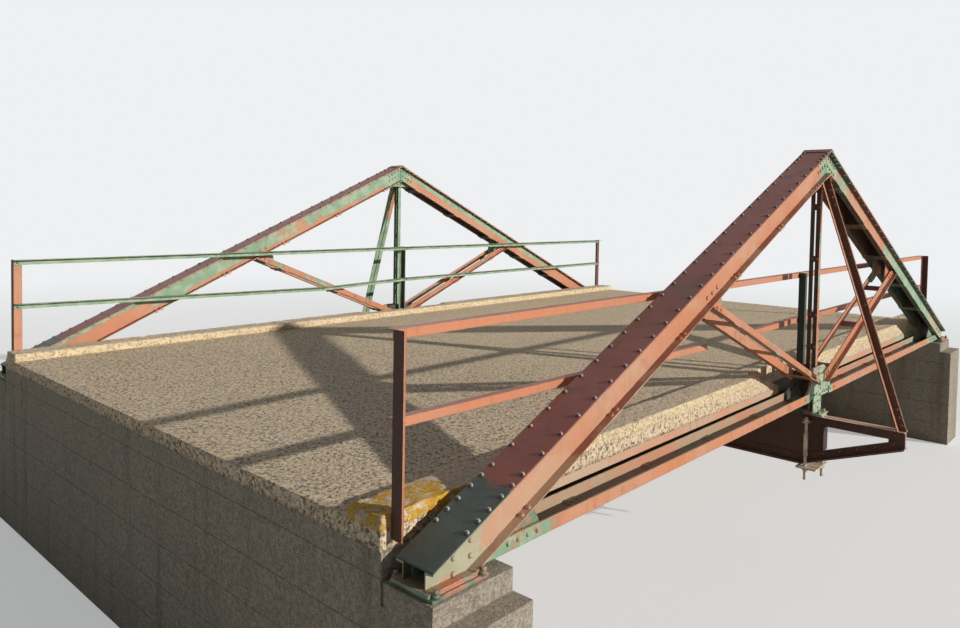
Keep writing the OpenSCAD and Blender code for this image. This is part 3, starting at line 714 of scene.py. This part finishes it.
# The heads on the near cover plates are paler than the plates, a painted highlight, and dark on their west
# side, painted shade
COVER_HEADS = paint("cover_head_paint", -0.35, cover_field, HEAD_PRIMER_LIT, HEAD_COAT_LIT, dark_top=0.0,
                    grime=0.1, rust=0.3, west=0.9, west_at=(-0.10, -0.45), edge_wear_and_shade=0.0)

for name, obj in nodes.items():
    obj.data.materials.clear()
    obj.data.materials.append(PAINT[slot_of[name]])


# Rivets and bolts, as meshes that sit on the CAD faces

# Diameters of the rivet heads
CHORD_HEAD = 0.031
WEB_HEAD = 0.030
GUSSET_HEAD = 0.028
BRACE_HEAD = 0.027
BATTEN_HEAD = 0.026
# Diameters of the bolts
SHOE_BOLT_D = 0.022
GUSSET_BOLT_D = 0.019
RAIL_BOLT_D = 0.014
# Outline of a rivet head, as shares of its radius and height
ROUND_HEAD = [(1.0, 0.06), (0.93, 0.45), (0.74, 0.76), (0.45, 0.94), (0.12, 1.0)]
# Depth to which heads and washers go into the face below them
SEAT = 0.001

# Rows of the cover plate, as slope distances from the peak; they are closer at both ends
RIVET_PITCH = 0.178
COVER_ROWS = ([0.09, 0.17, 0.25] + [0.332 + RIVET_PITCH * i for i in range(27)]
              + [5.05, 5.14, 5.243, 5.328, 5.413])
# Distances across from the truss plane, and along from the middle of a stay plate
COVER_GAUGE = 0.106
STAY_GAUGE = 0.104
STAY_ALONG = 0.031
# Depth of the face under the upper flange, and thickness of the lower one there
FLANGE_UNDER = 0.019
FLANGE_T = 0.011
# Distances from mid span and heights of the rivets through the webs at the peak and the strut heads
PEAK_RIVETS = [(0.049, 3.747), (0.108, 3.720), (0.166, 3.693), (0.223, 3.665),
               (0.040, 3.673), (0.099, 3.649), (0.155, 3.624), (0.210, 3.599)]
STRUT_HEAD_RIVETS = [(2.347, 2.623), (2.425, 2.592), (2.27, 2.66)]
STRUT_TOE_RIVETS = [(2.20, 2.46), (2.27, 2.49)]
FOOT_RIVETS = [(x, APEX_Z - x * SLOPE - drop) for x in (4.90, 5.02) for drop in (0.082, 0.160)]
# Two rivets across each batten, measured from its inner edge
BATTEN_ALONG = (0.028, 0.082)
# Distance from mid span, height and face of the rivets in the centre gussets
KING_X = 0.018
CENTRE_RIVETS = ([(KING_X, z, GUSSET_FACE) for z in (1.725, 1.685)]
                 + [(KING_X, z, PACKING_FACE) for z in (1.60, 1.54, 1.48)]
                 + [(x, 1.50, PACKING_FACE) for x in (-0.08, 0.09)]
                 + [(x, 1.495, PACKING_FACE) for x in (-0.15, 0.15, -0.21, 0.21)]
                 + [(KING_X, z, GUSSET_FACE) for z in (1.41, 1.35)]
                 + [(x, 1.41, GUSSET_FACE) for x in (-0.07, 0.075)])


class Fasteners:
    """Heads on one node, joined into one mesh that rides with the bridge."""

    def __init__(self, name, node):
        self.name = name
        self.node = node
        self.verts = []
        self.faces = []
        mesh = nodes[node].data
        self.tree = BVHTree.FromPolygons([v.co.copy() for v in mesh.vertices],
                                         [list(p.vertices) for p in mesh.polygons])

    def lathe(self, at, axis, profile, sides):
        """A closed turned body: profile is (radius, height) from the plate outward."""
        side = axis.orthogonal().normalized()
        other = axis.cross(side)
        base = len(self.verts)
        for radius, height in profile:
            for i in range(sides):
                a = 2 * math.pi * i / sides
                self.verts.append(at + axis * height + (side * math.cos(a) + other * math.sin(a)) * radius)
        for ring in range(len(profile) - 1):
            for i in range(sides):
                a = base + ring * sides + i
                b = base + ring * sides + (i + 1) % sides
                self.faces.append((a, b, b + sides, a + sides))
        self.faces.append(tuple(base + i for i in reversed(range(sides))))
        last = base + (len(profile) - 1) * sides
        self.faces.append(tuple(last + i for i in range(sides)))

    def find(self, point, inward, reach):
        """The face that a line along inward meets within reach of the point."""
        inward = Vector(inward).normalized()
        spot, normal, _, _ = self.tree.ray_cast(Vector(point) - inward * reach, inward, 2 * reach)
        if spot is None:
            return None, None
        return spot, normal if normal.dot(inward) < 0 else -normal

    def rivet(self, point, inward, d, reach=0.012):
        """A round head where there is a face; none is made past the edge of the piece."""
        spot, normal = self.find(point, inward, reach)
        if spot:
            r = d / 2
            h = 0.4 * d
            self.lathe(spot, normal, [(r, -SEAT)] + [(a * r, b * h) for a, b in ROUND_HEAD], 12)

    def bolt(self, point, inward, d, reach=0.012, stud=0.0):
        """A hexagon head or nut on a washer, with the end of the bolt where stud is above 0."""
        spot, normal = self.find(point, inward, reach)
        if spot:
            washer_t = 0.003
            chamfer = 0.002
            top = washer_t + 0.7 * d
            self.lathe(spot, normal, [(1.1 * d, -SEAT), (1.1 * d, washer_t)], 16)
            self.lathe(spot, normal, [(0.92 * d, chamfer), (0.92 * d, top - chamfer), (0.78 * d, top)], 6)
            if stud:
                self.lathe(spot, normal, [(d / 2, top - chamfer), (d / 2, top + stud - chamfer),
                                          (0.36 * d, top + stud)], 10)

    def done(self):
        mesh = bpy.data.meshes.new(self.name)
        mesh.from_pydata(self.verts, [], self.faces)
        mesh.update()
        for poly in mesh.polygons:
            poly.use_smooth = len(poly.vertices) == 4
        obj = link(bpy.data.objects.new(self.name, mesh))
        slot = slot_of[self.node]
        # Heads on the near cover plates take the paler paint, a painted highlight
        bare = slot == "covers" and self.name.startswith("near")
        mesh.materials.append(COVER_HEADS if bare else PAINT[slot])
        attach(obj, "root")


class Quarter:
    """The west or east half of one truss; points are given from mid span outward."""

    def __init__(self, truss, side_y, end):
        self.prefix = f"{truss}_{end}"
        self.y0 = side_y * TRUSS_Y
        self.sx = -1 if end == "west" else 1
        self.chord_up = Vector((self.sx * math.sin(CHORD_ANGLE), 0, math.cos(CHORD_ANGLE)))
        self.strut_up = Vector((-self.sx * math.sin(STRUT_ANGLE), 0, math.cos(STRUT_ANGLE)))

    def heads(self, piece, kind="rivets"):
        return Fasteners(f"{self.prefix}_{piece}_{kind}", f"{self.prefix}_{piece}")

    def at(self, x, across, z):
        return Vector((self.sx * x, self.y0 + across, z))

    def on_chord(self, s, across, depth):
        """A point at slope distance s from the peak, across the truss plane and down from the top."""
        return self.at(s * math.cos(CHORD_ANGLE) - depth * math.sin(CHORD_ANGLE), across,
                       APEX_Z - s * math.sin(CHORD_ANGLE) - depth * math.cos(CHORD_ANGLE))

    def on_strut(self, s, across, depth):
        """A point at slope distance s up the strut from mid span, and a depth below its top edge."""
        return self.at(s * math.cos(STRUT_ANGLE) + depth * math.sin(STRUT_ANGLE), across,
                       STRUT_TOP + s * math.sin(STRUT_ANGLE) - depth * math.cos(STRUT_ANGLE))

    def fasten_chord(self):
        """One row of the cover plate over each channel, the stay plates, and the webs."""
        up = self.chord_up
        top = self.heads("cover")
        under = self.heads("chord")
        for s in COVER_ROWS:
            for across in (-COVER_GAUGE, COVER_GAUGE):
                top.rivet(self.on_chord(s, across, 0), -up, CHORD_HEAD)
                under.rivet(self.on_chord(s, across, FLANGE_UNDER), up, CHORD_HEAD, 0.01)
        for i in range(STAY_COUNT):
            s = STAY_FIRST + STAY_PITCH * i
            for along in (-STAY_ALONG, STAY_ALONG):
                for across in (-STAY_GAUGE, STAY_GAUGE):
                    under.rivet(self.on_chord(s + along, across, CHORD_H - FLANGE_T), -up, WEB_HEAD)
                    under.rivet(self.on_chord(s + along, across, CHORD_H + STAY_T), up, WEB_HEAD)
        for x, z in PEAK_RIVETS + STRUT_HEAD_RIVETS + FOOT_RIVETS:
            for out in (-1, 1):
                under.rivet(self.at(x, out * WEB_FACE, z), (0, -out, 0), WEB_HEAD)
        top.done()
        under.done()

    def fasten_strut(self):
        """Battens under the outstanding legs, and gussets at both ends."""
        battens = (0.300, 1.200, 2.100)
        gauge = 0.116
        ends = (0.150, 0.205, 2.385, 2.455, 2.525)
        below_top = 0.036
        up = self.strut_up
        strut = self.heads("strut")
        for s in battens:
            for along in BATTEN_ALONG:
                for across in (-gauge, gauge):
                    strut.rivet(self.on_strut(s + along, across, STRUT_LEG - BATTEN_T), -up, BATTEN_HEAD)
                    strut.rivet(self.on_strut(s + along, across, STRUT_LEG + BATTEN_T), up, BATTEN_HEAD)
        for s in ends:
            for out in (-1, 1):
                strut.rivet(self.on_strut(s, out * ANGLE_FACE, below_top), (0, -out, 0), GUSSET_HEAD)
        strut.done()

    def fasten_tie(self):
        """Battens on top of the lying legs of the lower chord, and gussets at both ends."""
        battens = (1.100, 2.000, 2.900, 3.800)
        gauge = 0.052
        batten_top = LOWER_Z + 0.016
        ends = (0.280, 0.395, 4.395, 4.475, 4.555, 4.635)
        end_z = LOWER_Z + 0.043
        tie = self.heads("tie")
        for x in battens:
            for along in BATTEN_ALONG:
                for across in (-gauge, gauge):
                    tie.rivet(self.at(x + along, across, batten_top), (0, 0, -1), BATTEN_HEAD)
                    tie.rivet(self.at(x + along, across, LOWER_Z), (0, 0, 1), BATTEN_HEAD)
        for x in ends:
            for out in (-1, 1):
                tie.rivet(self.at(x, out * ANGLE_FACE, end_z), (0, -out, 0), GUSSET_HEAD)
        tie.done()

    def fasten_shoe(self):
        """A nut at each corner of the shoe."""
        corner_x = (4.87, 5.19)
        corner_y = 0.138
        plate_z = LOWER_Z - 0.018
        shoe = self.heads("shoe", "bolts")
        for x in corner_x:
            for across in (-corner_y, corner_y):
                shoe.bolt(self.at(x, across, plate_z), (0, 0, -1), SHOE_BOLT_D, 0.006, stud=0.02)
        shoe.done()


def fasten_kingpost(truss, side_y):
    """Two heads on both faces of each batten; the heights are of their lower edges, from the road."""
    battens = (0.250, 0.560, 1.100, 1.600)
    batten_half = 0.03
    gauge = 0.026
    y0 = side_y * TRUSS_Y
    king = Fasteners(f"{truss}_kingpost_rivets", f"{truss}_kingpost")
    for h in battens:
        z = ROAD_Z + h + batten_half
        for across in (-gauge, gauge):
            king.rivet((-KING_BACK, y0 + across, z), (1, 0, 0), BATTEN_HEAD)
            king.rivet((KING_BACK, y0 + across, z), (-1, 0, 0), BATTEN_HEAD)
    king.done()


def fasten_gussets(truss, side_y):
    """Heads on both faces of the gussets; the centre ones are bolted to the floor beam as well."""
    apex_row_z = 3.555
    apex_row_x = (-0.11, -0.05, KING_X, 0.09, 0.15)
    toe_x = 0.07
    toe_out = 0.110
    toe_z = BEAM_Z + 0.032
    y0 = side_y * TRUSS_Y
    centre = Fasteners(f"{truss}_centre_gusset_rivets", f"{truss}_centre_gussets")
    for out in (-1, 1):
        for x, z, face in CENTRE_RIVETS:
            centre.rivet((x, y0 + out * face, z), (0, -out, 0), GUSSET_HEAD)
            centre.rivet((x, y0 + out * GUSSET_BACK, z), (0, out, 0), GUSSET_HEAD)
        for x in (-toe_x, toe_x):
            centre.bolt((x, y0 + out * toe_out, toe_z), (0, 0, -1), GUSSET_BOLT_D, stud=0.012)
    centre.done()

    apex = Fasteners(f"{truss}_apex_gusset_rivets", f"{truss}_apex_gussets")
    for out in (-1, 1):
        for x in apex_row_x:
            apex.rivet((x, y0 + out * GUSSET_FACE, apex_row_z), (0, -out, 0), GUSSET_HEAD)
        for x, z in PEAK_RIVETS:
            for sx in (-1, 1):
                apex.rivet((sx * x, y0 + out * GUSSET_BACK, z), (0, out, 0), GUSSET_HEAD)
    apex.done()

    inner = Fasteners(f"{truss}_strut_gusset_rivets", f"{truss}_strut_gussets")
    for out in (-1, 1):
        for sx in (-1, 1):
            for x, z in STRUT_HEAD_RIVETS + STRUT_TOE_RIVETS:
                inner.rivet((sx * x, y0 + out * GUSSET_BACK, z), (0, out, 0), GUSSET_HEAD)
    inner.done()


def fasten_brace(truss, side_y):
    """The two angles are stitched through their legs, with a plate at the head."""
    brace = Fasteners(f"{truss}_brace_rivets", f"{truss}_brace")
    foot_y = TRUSS_Y + 0.785
    head_y = TRUSS_Y + 0.063
    lean = (foot_y - head_y) / (APEX_Z - BRACE_DROP - BEAM_Z)
    seam = 0.040
    stitches = [0.05, 0.12, 0.19] + [0.65 + 0.46 * i for i in range(4)] + [2.10, 2.17]
    for h in stitches:
        y = foot_y - h * lean + seam
        for sx in (-1, 1):
            brace.rivet((sx * LEG_FACE, side_y * y, BEAM_Z + h), (-sx, 0, 0), BRACE_HEAD)
    # The outstanding legs at the foot
    toe_x = 0.042
    toe_out = 0.02
    for h in (0.06, 0.14):
        y = foot_y - h * lean + toe_out
        for sx in (-1, 1):
            brace.rivet((sx * toe_x, side_y * y, BEAM_Z + h), (0, side_y, 0), BRACE_HEAD, 0.03)
    # The plate under the chords
    head_x = 0.05
    head_plate_t = 0.011
    chord_under = APEX_Z - head_x * SLOPE - CHORD_H / math.cos(CHORD_ANGLE)
    for sx in (-1, 1):
        for across in (0.088, 0.112):
            point = (sx * head_x, side_y * (TRUSS_Y + across), chord_under - head_plate_t)
            brace.rivet(point, (0, 0, 1), BATTEN_HEAD, 0.02)
    brace.done()


def fasten_hangers(truss, side_y):
    """Washers at the bracket and under the yoke, and threads on both ends of the two rods."""
    rod = Fasteners(f"{truss}_hanger_washers", f"{truss}_hanger")
    soffit = BEAM_Z - BEAM_H
    rods = ((-0.095, 0.008), (0.125, 0.092))
    washer = [(0.0335, -SEAT), (0.0335, 0.004)]
    thread = [(0.0138, 0), (0.0152, 0.0015), (0.0138, 0.003)]
    thread_pitch = 0.004
    bracket_z = BEAM_Z - 0.060
    low_thread = soffit - 0.128
    high_thread = BEAM_Z - 0.034
    for x, out in rods:
        y = side_y * (TRUSS_Y + out)
        for z, turn in ((bracket_z, 1), (soffit - YOKE_T, -1)):
            rod.lathe(Vector((x, y, z)), Vector((0, 0, turn)), washer, 20)
        for low, count in ((low_thread, 22), (high_thread, 5)):
            for i in range(count):
                rod.lathe(Vector((x, y, low + thread_pitch * i)), Vector((0, 0, 1)), thread, 14)
    rod.done()


def fasten_floor_beam():
    """A row along each flange, and one down each stiffener."""
    beam = Fasteners("floor_beam_rivets", "floor_beam")
    tip = TRUSS_Y + OUTRIGGER
    knee = TRUSS_Y - BEAM_KNEE
    taper = (BEAM_H - OUTRIGGER_TIP_H) / (tip - knee)
    first, pitch, count = -3.80, 0.152, 51
    row = 0.054
    least_gap = 0.12
    for i in range(count):
        y = first + pitch * i
        low = BEAM_Z - BEAM_H + max(0.0, (abs(y) - knee) * taper)
        for sx in (-1, 1):
            beam.rivet((sx * LEG_FACE, y, BEAM_Z - row), (-sx, 0, 0), GUSSET_HEAD)
            if BEAM_Z - row - low > least_gap:
                beam.rivet((sx * LEG_FACE, y, low + row), (-sx, 0, 0), GUSSET_HEAD)
    stiffener_y = TRUSS_Y + 0.130
    for side in (-1, 1):
        for sx in (-1, 1):
            for z in (0.99, 1.06, 1.13):
                beam.rivet((sx * LEG_FACE, side * stiffener_y, z), (-sx, 0, 0), BATTEN_HEAD)
    beam.done()


def fasten_rails(truss, side_y):
    """A bolt through each rail at the end posts and at the clip of the middle post."""
    posts = Fasteners(f"{truss}_post_bolts", f"{truss}_rail_posts")
    rails = Fasteners(f"{truss}_rail_bolts", f"{truss}_rails")
    end_x = POST_X - 0.040
    clip_x = (0.135 if truss == "near" else -0.010) + 0.055
    sag = 0.02
    half_leg = 0.028
    for x, dip in ((-end_x, 0.0), (end_x, 0.0), (clip_x, -sag)):
        for z in (RAIL_Z - half_leg, MID_RAIL_Z - half_leg + dip):
            rails.bolt((x, side_y * (DECK_Y - 0.006), z), (0, side_y, 0), RAIL_BOLT_D)
            posts.bolt((x, side_y * (DECK_Y + 0.008), z), (0, -side_y, 0), RAIL_BOLT_D, stud=0.01)
    posts.done()
    rails.done()


SIDES = (("near", -1), ("far", 1))
for truss, side_y in SIDES:
    for end in ("west", "east"):
        quarter = Quarter(truss, side_y, end)
        quarter.fasten_chord()
        quarter.fasten_strut()
        quarter.fasten_tie()
        quarter.fasten_shoe()
    fasten_kingpost(truss, side_y)
    fasten_gussets(truss, side_y)
    fasten_brace(truss, side_y)
    fasten_hangers(truss, side_y)
fasten_floor_beam()
for truss, side_y in SIDES:
    fasten_rails(truss, side_y)


# Worn concrete curbs

CURB_VOXEL = 0.012
CURB_WEAR = 0.014


def remeshed(name, below):
    """An object with a fine, slightly rounded mesh of a node, which goes deeper by below."""
    deeper = nodes[name].data.copy()
    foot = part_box(name)[0].z
    for v in deeper.vertices:
        if v.co.z < foot + 0.001:
            v.co.z -= below
    obj = link(bpy.data.objects.new(f"{name}_worn", deeper))
    remesh = obj.modifiers.new("remesh", "REMESH")
    remesh.mode = "VOXEL"
    remesh.voxel_size = CURB_VOXEL
    smooth = obj.modifiers.new("smooth", "SMOOTH")
    smooth.factor = 0.5
    smooth.iterations = 3
    graph = bpy.context.evaluated_depsgraph_get()
    mesh = bpy.data.meshes.new_from_object(obj.evaluated_get(graph))
    obj.modifiers.clear()
    obj.data = mesh
    return obj


def chip(mesh, low, high):
    """Roughens and chips the mesh, always inward, and fades out towards its foot."""
    fade_h = 0.05
    moved = []
    for p, normal in [(v.co.copy(), v.normal.copy()) for v in mesh.vertices]:
        chips = noise.noise(p * 9.0) + 0.5 * noise.noise(p * 23.0)
        rough = 0.5 + 0.5 * noise.noise(p * 60.0)
        fade = min(1.0, max(0.0, (p.z - low.z) / fade_h))
        p -= normal * CURB_WEAR * fade * (0.35 * rough + max(0.0, chips - 0.15))
        moved += [min(max(p.x, low.x), high.x), min(max(p.y, low.y), high.y), min(p.z, high.z)]
    mesh.vertices.foreach_set("co", moved)


def cut_below(mesh, z):
    """Takes the part below z off, so that the curb meets the slab without a groove."""
    cut = bmesh.new()
    cut.from_mesh(mesh)
    parts = cut.verts[:] + cut.edges[:] + cut.faces[:]
    bmesh.ops.bisect_plane(cut, geom=parts, plane_co=(0, 0, z), plane_no=(0, 0, 1), clear_inner=True)
    bmesh.ops.holes_fill(cut, edges=[e for e in cut.edges if e.is_boundary])
    cut.to_mesh(mesh)
    cut.free()


def worn_curb(name):
    """A worn curb in place of the plain one."""
    low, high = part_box(name)
    obj = remeshed(name, below=0.06)
    mesh = obj.data
    chip(mesh, low, high)
    cut_below(mesh, low.z)
    mesh.polygons.foreach_set("use_smooth", [len(p.vertices) <= 5 for p in mesh.polygons])
    mesh.update()
    mesh.materials.clear()
    mesh.materials.append(PAINT[slot_of[name]])
    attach(obj, "root")
    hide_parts(name)


for name in ("near_curb", "far_curb"):
    worn_curb(name)


# Studio

def add_floor():
    """A pale floor near the bridge, which passes into the background colour further out."""
    half = FLOOR_HALF
    z = -0.002
    mesh = bpy.data.meshes.new("floor")
    mesh.from_pydata([(-half, -half, z), (half, -half, z), (half, half, z), (-half, half, z)],
                     [], [(0, 1, 2, 3)])
    floor = link(bpy.data.objects.new("floor", mesh))
    mat, g = material("floor_pale")
    radius = g.add("ShaderNodeVectorMath", {0: g.coords()}, out=1, operation="LENGTH")
    seen = g.add("ShaderNodeLightPath", out=0)
    plain = g.add("ShaderNodeBsdfDiffuse", {0: FLOOR_COLOR})
    lift = g.add("ShaderNodeEmission", {0: (1, 1, 1, 1), 1: g.times(seen, 0.34)})
    near = g.add("ShaderNodeAddShader", {0: plain, 1: lift})
    away = g.add("ShaderNodeEmission", {0: BACKGROUND, 1: 1.0})
    fade = g.times(g.step(radius, 9.0, 30.0), seen)
    g.add("ShaderNodeOutputMaterial", {0: g.add("ShaderNodeMixShader", {0: fade, 1: near, 2: away})})
    mesh.materials.append(mat)


def add_lamp(name, strength, spread, towards, color=(1, 1, 1)):
    lamp = bpy.data.lights.new(name, "SUN")
    lamp.energy = strength
    lamp.angle = spread
    lamp.color = color
    obj = link(bpy.data.objects.new(name, lamp))
    obj.rotation_euler = towards.to_track_quat("Z", "Y").to_euler()


def add_sky():
    """A weak soft light from all around; the camera and mirror-like rays see the background."""
    world = bpy.data.worlds.new("sky")
    bpy.context.scene.world = world
    world.use_nodes = True
    g = Graph(world.node_tree)
    rays = world.node_tree.nodes.new("ShaderNodeLightPath").outputs
    direct = g.either(rays["Is Camera Ray"],
                      g.either(rays["Is Glossy Ray"], rays["Is Transmission Ray"]))
    soft = g.add("ShaderNodeBackground", {0: SKY_COLOR, 1: SKY_STRENGTH})
    shown = g.add("ShaderNodeBackground", {0: BACKGROUND, 1: 1.0})
    g.add("ShaderNodeOutputWorld", {0: g.add("ShaderNodeMixShader", {0: direct, 1: soft, 2: shown})})


add_camera()
add_floor()
add_lamp("key", KEY_STRENGTH, KEY_SPREAD, KEY_FROM, KEY_COLOR)
# A weak, broad lamp from behind keeps the faces in the shade readable
add_lamp("fill", FILL_STRENGTH, FILL_SPREAD, FILL_FROM)
add_sky()
bpy.context.scene.view_settings.view_transform = "Standard"
